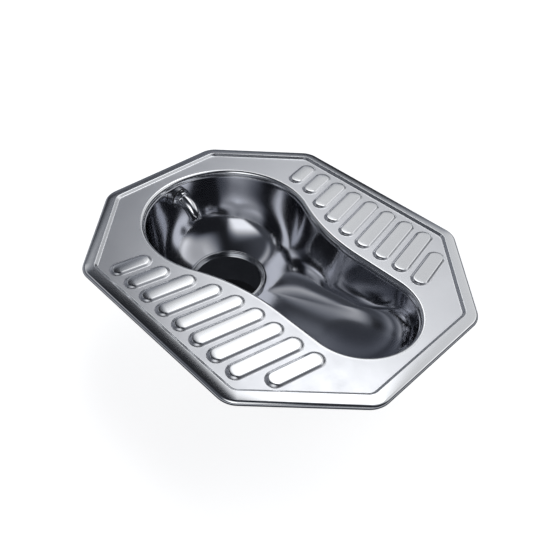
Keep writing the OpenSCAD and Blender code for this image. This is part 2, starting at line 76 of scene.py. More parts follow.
# Bowl: its wall is a cubic curve with two pulls, whose sizes go from the hopper's to the trough's.
# The first pull lies below the lip by the steepness and inwards by the draught. The second one
# lies above the drain, and inwards by the way to the drain divided by the turn.
BOWL_INSET, FLANGE_LOOPS = 1.4, (9.0, 5.0, 1.0)
BEND_Z = LIP_Z - BOWL_INSET
DRAIN_Z, DRAIN_R = -112.0, 60.0
HOPPER_STEEP, TROUGH_STEEP = 75.0, 40.0
HOPPER_ABOVE, TROUGH_ABOVE = 22.0, 50.0
DRAUGHT, HOPPER_TURN, TROUGH_TURN = 5.0, 2.6, 8.0

# Treads: their number, pitch and first place along X, and their slant. Then a tread's width,
# height, flank, rounding beyond the flank, dome and the dome's loops, and its gaps to the opening,
# to the crest and to the corner's cut.
TREADS, TREAD_PITCH, TREAD_START, TREAD_SLANT = 9, 33.1, -112.5, np.radians(12.0)
TREAD_W, TREAD_H, TREAD_FLANK, TREAD_SOFT = 26.0, 2.8, 4.0, 0.6
TREAD_DOME, DOME_LOOPS = 0.25, (0.0, 3.5, 6.5)
TREAD_GAP, TREAD_MARGIN, TREAD_CORNER = 16.0, 10.0, 6.5

# Buffing, where 0 is satin and 1 is bright: on the step, what the crest adds, on the lip and on
# the treads' tops. Then the offsets where it starts and where it is full, and its fade's width on
# a tread.
STEP_BUFF, CREST_BUFF, LIP_BUFF, TREAD_BUFF = 0.45, 0.5, 0.7, 0.8
STEP_FADE, CREST_FADE, LIP_FADE, TREAD_FADE = (-5.0, -3.0), (1.0, 5.0), (7.5, 5.0), 2.2

# Flush inlet, from its tail behind the wall to the bent spout, on a line along X. Then the tail's
# chamfer, the small edges and the collar's back and front edge, and the thread's pitch, depth and
# distance from the nut.
INLET_Z, INLET_HOLE_R, BORE_R, TUBE_R, SHANK_R = -22.0, 13.8, 8.5, 10.5, 11.0
TAIL_X, NUT_X, NUT_T, NUT_FLATS = -255.0, -235.0, 7.0, 30.0
COLLAR_X, COLLAR_T, COLLAR_R = -211.1, 3.0, 13.0
BEND_X, BEND_R, BEND = -205.1, 27.0, np.radians(72.0)
CHAMFER, EDGE, COLLAR_EDGE, COLLAR_ROUND = 0.7, 0.3, 0.4, 0.6
PIPE_PITCH, PIPE_THREAD, PIPE_END = 1.814, 1.1, 1.0

# Earth bolt and nut: their places, the bolt's radius and length, both hexagons, the bolt's plain
# neck and its tip, the thread's pitch and depth, and the play that a nut has on its thread. A
# hexagon's face is a circle of this share of its flats.
EARTH_AT = {"y": 66.0, "z": -11.9}
EARTH_HEAD_X, EARTH_NUT_X = -220.52, -229.42
EARTH_R, EARTH_L, EARTH_FLATS, EARTH_HEX_T = 3.0, 16.0, 10.0, 4.5
EARTH_NECK, EARTH_TIP, EARTH_PITCH, EARTH_THREAD, THREAD_PLAY = 0.2, 0.4, 1.0, 0.55, 0.15
HEX_FACE = 0.97

# About how many times finer the opening is here than in the solids, and a round piece's angles.
FINE = 3
AROUND = np.linspace(0, 2 * np.pi, 96, endpoint=False)

# ---------------------------------------------------------------- outlines and profiles


def unit(angle):
    """Unit vectors (cos a, sin a) for an array of angles."""
    return np.stack([np.cos(angle), np.sin(angle)], -1)


def fade(values, start, end):
    """A smooth step from 0 at the start to 1 at the end: 3 t squared - 2 t cubed, where t is a
    value's share of the way from start to end, held within 0 and 1."""
    t = np.clip((values - start) / (end - start), 0, 1)
    return t * t * (3 - 2 * t)


def outline(offsets, steps=14):
    """The rounded eight-sided outline, moved outwards by each offset: each corner's centre plus
    (crest rounding + offset) times a unit vector that turns through 45 degrees."""
    a, b = CREST_X - CREST_ROUND, CREST_Y - CREST_ROUND
    c = CREST_CUT - CREST_ROUND * (2 - np.sqrt(2))
    centres = np.array([[a, c - b], [a, b - c], [a - c, b], [c - a, b],
                        [-a, b - c], [-a, c - b], [c - a, -b], [a - c, -b]])
    turn = np.radians(45 * (np.arange(8)[:, None] - 1 + np.arange(steps + 1) / steps))
    reach = CREST_ROUND + np.asarray(offsets, float)[:, None, None, None]
    return (centres[:, None] + reach * unit(turn)).reshape(len(offsets), -1, 2)


def arc(centre, radii, start, end, steps):
    """Points centre + radius (cos a, sin a), where a steps evenly and stops before its end."""
    a = start + (end - start) * np.arange(steps) / steps
    return np.asarray(centre) + np.asarray(radii)[:, None, None] * unit(a)


def line(start, end, steps):
    """Points that step evenly from start and stop before the end."""
    t = np.arange(steps)[:, None] / steps
    return start[:, None] + (end - start)[:, None] * t


def opening(offsets):
    """The keyhole opening, moved outwards by each offset g: arcs of radius trough + g, neck - g
    and hopper + g, joined by straight lines along the trough."""
    g = np.asarray(offsets, float)
    side = np.stack([np.full_like(g, NECK_X), TROUGH_R + g], -1)
    front = np.stack([np.full_like(g, TROUGH_X), TROUGH_R + g], -1)
    mirror = np.array([1, -1])
    return np.concatenate([
        arc((TROUGH_X, 0), TROUGH_R + g, -np.pi / 2, np.pi / 2, 24 * FINE),
        line(front, side, 4 * FINE),
        arc((NECK_X, NECK_Y), NECK_R - g, 1.5 * np.pi, np.pi + NECK_TURN, 10 * FINE),
        arc((HOPPER_X, 0), HOPPER_R + g, NECK_TURN, 2 * np.pi - NECK_TURN, 48 * FINE),
        arc((NECK_X, -NECK_Y), NECK_R - g, np.pi - NECK_TURN, np.pi / 2, 10 * FINE),
        line(side * mirror, front * mirror, 4 * FINE)], 1)


def filleted(corners, radii, steps):
    """Straight lines between the corners, with each inner corner replaced by an arc that touches
    both its lines. The arc's centre lies on the corner's bisector, at radius / sin(half the
    corner's angle), and its points turn evenly from one line to the other."""
    corners = np.asarray(corners, float)
    t = np.linspace(0, 1, steps + 1)[:, None]
    path = [corners[:1]]
    for before, at, after, radius in zip(corners, corners[1:], corners[2:], radii):
        u = (before - at) / np.linalg.norm(before - at)
        v = (after - at) / np.linalg.norm(after - at)
        half = np.arccos(np.clip(u @ v, -1, 1)) / 2
        centre = at + (u + v) / np.linalg.norm(u + v) * radius / np.sin(half)
        start = at + u * radius / np.tan(half) - centre
        end = at + v * radius / np.tan(half) - centre
        sweep = np.pi - 2 * half
        swept = np.sin((1 - t) * sweep) * start + np.sin(t * sweep) * end
        path.append(centre + swept / np.sin(sweep))
    path.append(corners[-1:])
    return np.vstack(path)


def rim_profile():
    """Offsets from the crest and heights, from the panel up the step, over the falling crest, down
    the skirt and in along the seat: straight lines with rounded corners. The first two points
    lie flat on the panel, so that the shading runs on smoothly there."""
    corners = [[PANEL_EDGE + RIM_FLAT, PANEL_Z], [-STEP_W, PANEL_Z], [0, RIM_H],
               [RIM_W, RIM_H - RIM_FALL], [RIM_W, SEAL_H], [RIM_W - SEAT_W, SEAL_H]]
    rounded = filleted(corners, [STEP_FOOT_R, STEP_TOP_R, RIM_R, SKIRT_R], steps=8)
    return np.vstack([[[PANEL_EDGE, PANEL_Z]], rounded])


def lip_profile():
    """Offsets from the opening and heights, from two points flat on the panel, over a quarter
    circle and down the lip to its hem."""
    corners = [[LIP_R + 2 * LIP_FLAT, PANEL_Z], [0, PANEL_Z], [0, LIP_Z + LIP_HEM]]
    rounded = filleted(corners, [LIP_R], steps=14)
    return np.vstack([[[LIP_R + 3 * LIP_FLAT, PANEL_Z]], rounded, [[0, LIP_Z]]])


# ---------------------------------------------------------------- meshes


def lift(loops, heights):
    """Level loops of plan points, each given its own height."""
    z = np.broadcast_to(np.asarray(heights, float)[:, None, None], loops.shape[:2] + (1,))
    return np.concatenate([loops, z], -1)


def grid(points, flip=False):
    """Two triangles for each cell of a grid of points whose rows close on themselves."""
    count, around = points.shape[:2]
    i, j = np.meshgrid(np.arange(count - 1), np.arange(around), indexing="ij")
    a, b = i * around + j, i * around + (j + 1) % around
    c, d = a + around, b + around
    halves = [np.stack(corners, -1).reshape(-1, 3) for corners in ((a, b, d), (a, d, c))]
    tris = np.concatenate(halves)
    return points.reshape(-1, 3), tris[:, ::-1] if flip else tris


def weld(parts):
    """Joins parts, each (points, triangles, polish), into one: points that fall into the same
    cell of a fine grid become one point, and triangles that lose a side are dropped."""
    starts = np.cumsum([0] + [len(p[0]) for p in parts[:-1]])
    points = np.concatenate([p[0] for p in parts])
    tris = np.concatenate([p[1] + s for p, s in zip(parts, starts)])
    polish = np.concatenate([np.broadcast_to(p[2], len(p[0])) for p in parts])
    cell = np.floor(points / WELD_CELL + WELD_SHIFT).astype(np.int64)
    _, first, inverse = np.unique(cell, axis=0, return_index=True, return_inverse=True)
    tris = inverse.reshape(-1)[tris]
    whole = (tris != np.roll(tris, 1, 1)).all(1)
    return points[first], tris[whole], polish[first]


def piece(name, points, tris, material, slot, node, sheet=0.0, polish=None, crease=0.0):
    """Puts a surface into a smooth-shaded mesh, with sharp edges where it turns by more than the
    crease if that is set, gives it a sheet's thickness behind its face if sheet is set, hangs it
    on the root body and hides its node."""
    mesh = bpy.data.meshes.new(name)
    mesh.from_pydata((points * MM).tolist(), [], tris.tolist())
    mesh.polygons.foreach_set("use_smooth", np.ones(len(tris), bool))
    if polish is not None:
        shares = mesh.attributes.new("polish", "FLOAT", "POINT").data
        shares.foreach_set("value", polish.astype(np.float32))
    if crease:
        mesh.set_sharp_from_angle(angle=np.radians(crease))
    mesh.materials.append(material)
    obj = bpy.data.objects.new(name, mesh)
    bpy.context.scene.collection.objects.link(obj)
    if sheet:
        wall = obj.modifiers.new("sheet", "SOLIDIFY")
        wall.thickness, wall.offset, wall.use_even_offset = sheet * MM, -1, True
    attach(obj, "root")
    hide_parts(node)


# ---------------------------------------------------------------- shader nodes


def feed(tree, value, socket):
    """Links a socket to another one, or sets it to a number or a colour."""
    if isinstance(value, bpy.types.NodeSocket):
        tree.links.new(value, socket)
    else:
        socket.default_value = value


def math_node(tree, operation, *values):
    """One Math node between sockets or numbers."""
    node = tree.nodes.new("ShaderNodeMath")
    node.operation = operation
    for value, socket in zip(values, node.inputs):
        feed(tree, value, socket)
    return node.outputs[0]


def map_range(tree, value, start, end, low=0.0, high=1.0, kind="LINEAR"):
    """Carries a value's start..end to low..high in a straight line, or by a smooth step."""
    node = tree.nodes.new("ShaderNodeMapRange")
    node.interpolation_type = kind
    for name, given in (("Value", value), ("From Min", start), ("From Max", end),
                        ("To Min", low), ("To Max", high)):
        feed(tree, given, node.inputs[name])
    return node.outputs["Result"]


def ramp(tree, value, start, end):
    """A smooth step from 0 at the start to 1 at the end."""
    return map_range(tree, value, start, end, kind="SMOOTHSTEP")


def mixed(tree, factor, first, second, kind="RGBA"):
    """Two colours or numbers, mixed by a factor."""
    node = tree.nodes.new("ShaderNodeMix")
    node.data_type = kind
    for name, value in (("Factor", factor), ("A", first), ("B", second)):
        feed(tree, value, node.inputs[name])
    return node.outputs["Result"]


def noise(tree, place, scale, detail, rough=0.5):
    """A noise texture on a position."""
    node = tree.nodes.new("ShaderNodeTexNoise")
    for name, value in (("Vector", place), ("Scale", scale), ("Detail", detail),
                        ("Roughness", rough)):
        feed(tree, value, node.inputs[name])
    return node.outputs["Fac"]


def group_tree(name, inputs, outputs):
    """An empty node group with named inputs and outputs, each a (label, kind of value)."""
    tree = bpy.data.node_groups.new(name, "ShaderNodeTree")
    for in_out, sockets in (("INPUT", inputs), ("OUTPUT", outputs)):
        for label, kind in sockets:
            tree.interface.new_socket(label, in_out=in_out, socket_type="NodeSocket" + kind)
    given = tree.nodes.new("NodeGroupInput").outputs
    return tree, given, tree.nodes.new("NodeGroupOutput").inputs


# ---------------------------------------------------------------- materials


def steel_skin_group():
    """Tone, sheen and grain of handled sheet steel. Tone and sheen drift with soft noises, whose
    usual range is carried to the whole one, and grain is a fine noise that a Bump node reads as
    height."""
    tree, given, out = group_tree(
        "sheet steel skin",
        [("Position", "Vector"), ("Light Tone", "Color"), ("Dark Tone", "Color"),
         ("Low Sheen", "Float"), ("High Sheen", "Float")],
        [("Tone", "Color"), ("Sheen", "Float"), ("Grain", "Float")])
    place, usual = given["Position"], (0.3, 0.7)
    drift = map_range(tree, noise(tree, place, 14.0, 3.0), *usual)
    feed(tree, mixed(tree, drift, given["Light Tone"], given["Dark Tone"]), out["Tone"])
    wipe = noise(tree, place, 45.0, 4.0, 0.6)
    sheen = map_range(tree, wipe, *usual, given["Low Sheen"], given["High Sheen"])
    feed(tree, sheen, out["Sheen"])
    feed(tree, noise(tree, place, 2600.0, 1.0), out["Grain"])
    return tree


STEEL_SKIN = steel_skin_group()


def metal(name, light, dark, low, high, grain=0.0, stretch=(1, 1, 1), metallic=1.0):
    """A metal or rubber whose colour lies between two tones and whose roughness lies between two
    values. Stretch draws the pattern out along an axis, as brushing does."""
    material = bpy.data.materials.new(name)
    material.use_nodes = True
    tree = material.node_tree
    shader = tree.nodes["Principled BSDF"]
    place = tree.nodes.new("ShaderNodeTexCoord")
    brushed = tree.nodes.new("ShaderNodeMapping")
    brushed.inputs["Scale"].default_value = stretch
    feed(tree, place.outputs["Object"], brushed.inputs["Vector"])
    skin = tree.nodes.new("ShaderNodeGroup")
    skin.node_tree, skin.name = STEEL_SKIN, "skin"
    for label, value in (("Position", brushed.outputs["Vector"]), ("Light Tone", (*light, 1.0)),
                         ("Dark Tone", (*dark, 1.0)), ("Low Sheen", low), ("High Sheen", high)):
        feed(tree, value, skin.inputs[label])
    feed(tree, skin.outputs["Tone"], shader.inputs["Base Color"])
    feed(tree, skin.outputs["Sheen"], shader.inputs["Roughness"])
    shader.inputs["Metallic"].default_value = metallic
    if grain:
        bump = tree.nodes.new("ShaderNodeBump")
        bump.inputs["Strength"].default_value = grain
        bump.inputs["Distance"].default_value = 0.0001
        feed(tree, skin.outputs["Grain"], bump.inputs["Height"])
        feed(tree, bump.outputs["Normal"], shader.inputs["Normal"])
    return material


def buffed_where(material, attribute, low, high, tone):
    """Buffs a satin metal where the piece's own attribute says so, as on the rim, the lip and the
    treads: a sheen of 0.2..0.5 becomes low..high, and the colour becomes the tone."""
    tree = material.node_tree
    shader, skin = tree.nodes["Principled BSDF"], tree.nodes["skin"]
    mask = tree.nodes.new("ShaderNodeAttribute")
    mask.attribute_name = attribute
    share, sheen = mask.outputs["Fac"], skin.outputs["Sheen"]
    bright = map_range(tree, sheen, 0.2, 0.5, low, high)
    feed(tree, mixed(tree, share, sheen, bright, "FLOAT"), shader.inputs["Roughness"])
    colour = mixed(tree, share, skin.outputs["Tone"], (*tone, 1.0))
    feed(tree, colour, shader.inputs["Base Color"])
    return material


DECK = buffed_where(
    metal("satin deck steel", (0.86, 0.87, 0.895), (0.81, 0.82, 0.845), 0.28, 0.34, 0.02),
    "polish", 0.07, 0.11, (0.90, 0.91, 0.92))
BOWL = metal("polished bowl steel", (0.565, 0.575, 0.61), (0.515, 0.525, 0.56), 0.10, 0.12)
OUTLET = metal("outlet steel", (0.60, 0.61, 0.63), (0.52, 0.53, 0.55), 0.12, 0.22, 0.05)
TURNED = metal("turned boss steel", (0.58, 0.59, 0.61), (0.50, 0.51, 0.53), 0.18, 0.30, 0.10)
CHROME = metal("chrome plate", (0.84, 0.85, 0.87), (0.80, 0.81, 0.83), 0.03, 0.06)
ZINC = metal("zinc-plated steel", (0.66, 0.67, 0.68), (0.55, 0.56, 0.57), 0.28, 0.42, 0.15)
BRASS = metal("plain brass", (0.78, 0.60, 0.28), (0.66, 0.48, 0.21), 0.22, 0.36, 0.10)
MILL = metal("mill-finish steel sheet", (0.56, 0.56, 0.57), (0.44, 0.44, 0.46), 0.34, 0.50, 0.25,
             stretch=(0.25, 1, 1))
FOAM = metal("foam sealing strip", (0.045, 0.045, 0.048), (0.03, 0.03, 0.033), 0.75, 0.92, 0.9,
             metallic=0.0)
RUBBER = metal("black washer rubber", (0.035, 0.035, 0.038), (0.02, 0.02, 0.022), 0.5, 0.7, 0.4,
               metallic=0.0)

# Every other node is an anchor lug, a stiffener or the earth tab, cut from mill-finish sheet.
FINISHES = {
    "deck_plate": DECK, "bowl": BOWL, "rim_seal": FOAM, "outlet_collar": OUTLET,
    "outlet_spigot": OUTLET, "inlet_boss": TURNED, "flush_spout": CHROME,
    "spout_rosette": CHROME, "inlet_gasket_inner": RUBBER, "inlet_gasket_outer": RUBBER,
    "inlet_washer": ZINC, "inlet_locknut": BRASS, "earth_bolt": ZINC, "earth_washers": ZINC,
    "earth_nut": ZINC}

for name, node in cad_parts.items():
    for held in node.material_slots:
        held.material = FINISHES.get(name, MILL)

# ---------------------------------------------------------------- deck


def half_opening(x):
    """Half width of the opening at x, from the circle, neck curve or line that bounds it there."""
    if x < HOPPER_X + HOPPER_R * np.cos(NECK_TURN):
        return np.sqrt(HOPPER_R ** 2 - (x - HOPPER_X) ** 2)
    if x < NECK_X:
        return NECK_Y - np.sqrt(NECK_R ** 2 - (x - NECK_X) ** 2)
    return TROUGH_R if x < TROUGH_X else np.sqrt(max(0, TROUGH_R ** 2 - (x - TROUGH_X) ** 2))


def tread_place(i):
    """Middle of tread i's outer end, and its length between the middles of its round ends. The
    treads' lines are evenly spaced. The outer end stops on the row's top line, or sooner on its
    own line where the corner's cut comes near. The inner end keeps its gap to the opening's
    width at the place where it ends, which three rounds find closely."""
    lean, foot = np.tan(TREAD_SLANT), TREAD_W / 2
    top, start = CREST_Y - TREAD_MARGIN - foot, TREAD_START + i * TREAD_PITCH
    room = CREST_X + CREST_Y - CREST_CUT - np.sqrt(2) * (TREAD_CORNER + foot)
    y = min(top, (room - start - top * lean) / (1 - lean))
    x = start + (top - y) * lean
    inner = x
    for _ in range(3):
        run = y - half_opening(inner) - TREAD_GAP - foot
        inner = x + run * lean
    return x, y, run / np.cos(TREAD_SLANT)


def tread_loop(radii, run, ends=20, sides=14):
    """Loops at each radius round a straight axis of length run that starts at 0 and goes to -Y:
    a point on the axis plus the radius times a direction that turns only at the axis's ends."""
    half, side = np.linspace(0, np.pi, ends + 1), np.full(sides - 1, np.pi)
    down = -run * np.arange(1, sides) / sides
    axis = np.concatenate([np.zeros(ends + 1), down, np.full(ends + 1, -run), down[::-1]])
    turn = np.concatenate([half, side, np.pi + half, 2 * side])
    loops = np.asarray(radii, float)[:, None, None] * unit(turn)
    return loops + np.stack([np.zeros_like(axis), axis], -1)


def tread_surface(i, side):
    """Tread i on one side, and its buffing: height falls from a slightly domed crown to the panel
    as a smooth step between two radii, and the last two loops lie flat on the panel. The loops
    are turned by the slant, put in place and mirrored for the other side."""
    x, y, run = tread_place(i)
    foot, crown = TREAD_W / 2 + TREAD_SOFT, TREAD_W / 2 - TREAD_FLANK - TREAD_SOFT
    flat = [foot + TREAD_FLAT, foot + 2 * TREAD_FLAT]
    radii = np.concatenate([DOME_LOOPS, np.linspace(crown, foot, 13), flat])
    dome = TREAD_DOME * np.clip(1 - (radii / crown) ** 2, 0, 1)
    height = PANEL_Z + TREAD_H * fade(radii, foot, crown) + dome
    slant = np.stack([unit(TREAD_SLANT), unit(TREAD_SLANT + np.pi / 2)])
    loops = (tread_loop(radii, run) @ slant + [x, y]) * [1, side]
    buff = TREAD_BUFF * fade(radii, foot - TREAD_FADE, foot - 2 * TREAD_FADE)
    return lift(loops, height), np.repeat(buff, loops.shape[1])


def within(points, loop):
    """True where an odd number of the loop's sides lies to the right of a point."""
    a, b = loop, np.roll(loop, -1, 0)
    y = points[:, None, 1]
    crosses = (a[:, 1] > y) != (b[:, 1] > y)
    rise = np.where(b[:, 1] == a[:, 1], 1.0, b[:, 1] - a[:, 1])
    x = a[:, 0] + (y - a[:, 1]) * (b[:, 0] - a[:, 0]) / rise
    return (crosses & (points[:, None, 0] < x)).sum(1) % 2 == 1


def upward(plan, tris):
    """Turns each triangle so that its corners run anticlockwise on plan."""
    a, b, c = plan[tris[:, 0]], plan[tris[:, 1]], plan[tris[:, 2]]
    area = (b - a)[:, 0] * (c - a)[:, 1] - (b - a)[:, 1] * (c - a)[:, 0]
    return np.where(area[:, None] < 0, tris[:, ::-1], tris)


def flat_between(outer, holes):
    """Triangles of the flat panel: a constrained Delaunay net over the outer loop and the holes,
    on their own exact points, without the triangles whose centre falls in a hole."""
    loops = [outer] + holes
    starts = np.cumsum([0] + [len(k) for k in loops[:-1]])
    sides = [np.stack([np.arange(len(k)), np.roll(np.arange(len(k)), -1)], -1) for k in loops]
    edges = np.concatenate([s + start for s, start in zip(sides, starts)])
    plan = np.concatenate(loops)
    net = delaunay_2d_cdt([Vector(p) for p in plan.tolist()], edges.tolist(), [], 0, 1e-6)
    at, tris = plan[[ids[0] for ids in net[3]]], np.array(net[2])
    middle = at[tris].mean(1)
    keep = within(middle, outer)
    for hole in holes:
        keep &= ~within(middle, hole)
    return lift(at[None], [PANEL_Z])[0], upward(at, tris[keep])


def deck_surface():
    """The deck's upper face and its buffing: the rim's and the lip's profiles carried round their
    outlines, the treads' surfaces, and the flat satin panel between them."""
    (rim_out, rim_z), (lip_out, lip_z) = rim_profile().T, lip_profile().T
    rim, lip = lift(outline(rim_out), rim_z), lift(opening(lip_out), lip_z)
    places = [(i, side) for side in (1, -1) for i in range(TREADS)]
    treads = [tread_surface(i, side) for i, side in places]
    holes = [loops[-1, :, :2] for loops, _ in treads]
    panel, net = flat_between(rim[0, :, :2], [lip[0, :, :2]] + holes)
    rim_buff = STEP_BUFF * fade(rim_out, *STEP_FADE) + CREST_BUFF * fade(rim_out, *CREST_FADE)
    lip_buff = LIP_BUFF * fade(lip_out, *LIP_FADE)
    parts = [(*grid(rim, flip=True), np.repeat(rim_buff, rim.shape[1])),
             (*grid(lip), np.repeat(lip_buff, lip.shape[1])), (panel, net, 0.0)]
    parts += [(*grid(loops, flip=side > 0), buff)
              for (loops, buff), (_, side) in zip(treads, places)]
    return weld(parts)


points, tris, polish = deck_surface()
piece("pressed_deck", points, tris, DECK, "deck_steel", "deck_plate", sheet=SHEET, polish=polish)

# ---------------------------------------------------------------- bowl


def curve(a, b, c, d, t):
    """Cubic curve through a and d, drawn towards b and c."""
    return (1 - t) ** 3 * a + 3 * (1 - t) ** 2 * t * b + 3 * (1 - t) * t * t * c + t ** 3 * d


def bowl_wall(t):
    """The bowl's inner wall. Each point of the opening runs straight towards the drain on plan,
    and its depth follows a cubic curve: steep and round in the hopper, long and low in the trough.
    The curve's sizes go from the hopper's to the trough's by the way's extra length."""
    start = opening([-BOWL_INSET])[0]
    away = start - [HOPPER_X, 0]
    far = np.linalg.norm(away, axis=1)
    reach = far - DRAIN_R
    share = (reach - (HOPPER_R - DRAIN_R)) / (TROUGH_X + TROUGH_R - HOPPER_X - HOPPER_R)
    steep = HOPPER_STEEP + (TROUGH_STEEP - HOPPER_STEEP) * share
    above = HOPPER_ABOVE + (TROUGH_ABOVE - HOPPER_ABOVE) * share
    turn = reach / (HOPPER_TURN + (TROUGH_TURN - HOPPER_TURN) * share)
    t = t[:, None]
    inwards = curve(0.0, DRAUGHT, turn, reach, t)
    depth = curve(BEND_Z, LIP_Z - steep, above + DRAIN_Z, DRAIN_Z, t)
    plan = start - (away / far[:, None]) * inwards[:, :, None]
    return np.concatenate([plan, depth[:, :, None]], -1)


def bowl_surface():
    """The bowl's upper face: a flat flange, a rounded bend and the wall, with the inlet's hole
    left open in the end wall, inside the boss."""
    bend = np.radians(np.linspace(90, 165, 6))
    offsets = np.concatenate([FLANGE_LOOPS, BOWL_INSET * np.cos(bend)])
    heights = np.concatenate([[LIP_Z] * len(FLANGE_LOOPS), BEND_Z + BOWL_INSET * np.sin(bend)])
    top = lift(opening(offsets), heights)
    points, tris = grid(np.concatenate([top, bowl_wall(np.linspace(0, 1, 90))]))
    from_axis = np.hypot(points[:, 1], points[:, 2] - INLET_Z)
    hole = (from_axis < INLET_HOLE_R) & (points[:, 0] < HOPPER_X)
    return points, tris[~hole[tris].all(1)]


points, tris = bowl_surface()
piece("drawn_bowl", points, tris, BOWL, "bowl_steel", "bowl", sheet=SHEET)

# ---------------------------------------------------------------- inlet and earth fittings


def rings(along, radii, y=0.0, z=INLET_Z, start=0.0, bend=BEND_R):
    """Rings round an axis that runs along X to the start and then bends down about a centre that
    lies one bend radius below it. At the angle p past the start, the axis is at
    (start + bend sin p, z - bend + bend cos p) and a ring's top points to (sin p, cos p)."""
    turn = np.maximum(along - start, 0) / bend
    x = np.minimum(along, start) + bend * np.sin(turn)
    up, out = radii * np.cos(AROUND), radii * np.sin(AROUND)
    return np.stack([x + up * np.sin(turn), y + out, z - bend + (bend + up) * np.cos(turn)], -1)


def thread(start, end, radius, pitch, depth, steps=10):
    """Places along X and radii of a screw thread, with some steps for each pitch: the radius dips
    by the depth as a wave that moves on by one pitch in each turn. The wave's tops and bottoms
    are cut flat, and the dip fades out over one pitch at both ends."""
    x = np.linspace(start, end, int(abs(end - start) / pitch * steps) + 1)[:, None]
    wave = np.abs(2 * ((x / pitch - AROUND / (2 * np.pi)) % 1) - 1)
    ends = np.clip(np.minimum(abs(x - start), abs(end - x)) / pitch, 0, 1)
    return x, radius - depth * ends * np.clip(1.2 * wave - 0.1, 0, 1)


def hexagon_rows(near, far, flats):
    """Rows from a hexagon's near face to its far face. Its sides lie at half its flats over the
    cosine of the angle from a side's middle, and a 30 degree bevel cuts its corners, so that each
    face is a circle slightly smaller than the flats."""
    face = HEX_FACE * flats / 2
    side = flats / 2 / np.cos(AROUND % (np.pi / 3) - np.pi / 6)
    bevel = (side - face) * np.tan(np.pi / 6) * np.sign(far - near)
    return (near, face), (near + bevel, side), (far - bevel, side), (far, face)


def nut_rows(near, far, flats, bore):
    """Rows of a hexagon nut from its bore, over its sides and back through the bore."""
    return (near, bore), *hexagon_rows(near, far, flats), (far, bore), (near, bore)


def screw_rows():
    """Rows of the earth bolt from its head's middle to its tip's middle."""
    tip = EARTH_HEAD_X - EARTH_L
    head = hexagon_rows(EARTH_HEAD_X + EARTH_HEX_T, EARTH_HEAD_X, EARTH_FLATS)
    shank = thread(EARTH_HEAD_X - EARTH_NECK, tip + EARTH_TIP, EARTH_R, EARTH_PITCH, EARTH_THREAD)
    return ((EARTH_HEAD_X + EARTH_HEX_T, 0.0), *head, (EARTH_HEAD_X, EARTH_R), shank,
            (tip, EARTH_R - EARTH_TIP), (tip, 0.0))


def spout_rows():
    """Rows of the spout from its tail's bore, over the thread, the shank, the collar and the bent
    tube, round the mouth's edge as a half circle and back through the bore."""
    end, edge, face = BEND_X + BEND_R * BEND, (TUBE_R - BORE_R) / 2, COLLAR_X + COLLAR_T
    lip = np.linspace(0, np.pi, 13)[:, None]
    bend = np.linspace(BEND_X, end - edge, 37)[:, None]
    mouth = end - edge + edge * np.sin(lip), BORE_R + edge + edge * np.cos(lip)
    tail = thread(TAIL_X + CHAMFER, NUT_X - PIPE_END, TUBE_R, PIPE_PITCH, PIPE_THREAD)
    return ((TAIL_X, BORE_R), (TAIL_X, TUBE_R - CHAMFER), (TAIL_X + CHAMFER, TUBE_R), tail,
            (NUT_X, TUBE_R), (NUT_X, SHANK_R - EDGE), (NUT_X + EDGE, SHANK_R),
            (COLLAR_X, SHANK_R), (COLLAR_X, COLLAR_R - COLLAR_EDGE),
            (COLLAR_X + COLLAR_EDGE, COLLAR_R),
            (face - COLLAR_ROUND, COLLAR_R),
            (face - COLLAR_ROUND / 3, COLLAR_R - COLLAR_ROUND / 4),
            (face, COLLAR_R - COLLAR_ROUND),
            (face, TUBE_R + EDGE), (face + EDGE, TUBE_R), (bend, TUBE_R), mouth,
            (bend[::-1], BORE_R), (TAIL_X, BORE_R))


def turned(pairs, **place):
    """A closed surface through rows, each a pair of place and radius that is one number or runs
    round the ring. Its faces point outwards: where the enclosed volume, the sum of a . (b x c)
    over the triangles, is negative, all of them are turned round."""
    rows = [np.broadcast_arrays(np.atleast_2d(x), np.atleast_2d(r), AROUND) for x, r in pairs]
    along, radii = (np.vstack([row[k] for row in rows]) for k in (0, 1))
    points, tris, _ = weld([(*grid(rings(along, radii, **place)), 0.0)])
    a, b, c = points[tris[:, 0]], points[tris[:, 1]], points[tris[:, 2]]
    return points, tris[:, ::-1] if (a * np.cross(b, c)).sum() < 0 else tris


piece("bent_spout", *turned(spout_rows(), start=BEND_X),
      CHROME, "spout_chrome", "flush_spout", crease=40)
piece("brass_locknut", *turned(nut_rows(NUT_X + NUT_T, NUT_X, NUT_FLATS, SHANK_R + THREAD_PLAY)),
      BRASS, "nut_brass", "inlet_locknut", crease=25)
piece("earth_screw", *turned(screw_rows(), **EARTH_AT),
      ZINC, "zinc_steel", "earth_bolt", crease=25)
earth_nut = nut_rows(EARTH_NUT_X + EARTH_HEX_T, EARTH_NUT_X, EARTH_FLATS, EARTH_R + THREAD_PLAY)
piece("earth_screw_nut", *turned(earth_nut, **EARTH_AT),
      ZINC, "zinc_steel", "earth_nut", crease=25)

# ---------------------------------------------------------------- floor, in metres

FLOOR_Z = -0.1699
PIPE_X, PIPE_R, PIPE_DEPTH, PIPE_ROUND = -0.104, 0.0548, 0.25, 0.001


def plain(name, colour, rough, glow=0.0):
    """A plain stage material with a little light of its own."""
    material = bpy.data.materials.new(name)
    material.use_nodes = True
    shader = material.node_tree.nodes["Principled BSDF"]
    for label, value in (("Base Color", (*colour, 1.0)), ("Roughness", rough),
                         ("Emission Color", (*colour, 1.0)), ("Emission Strength", glow)):
        shader.inputs[label].default_value = value
    return material


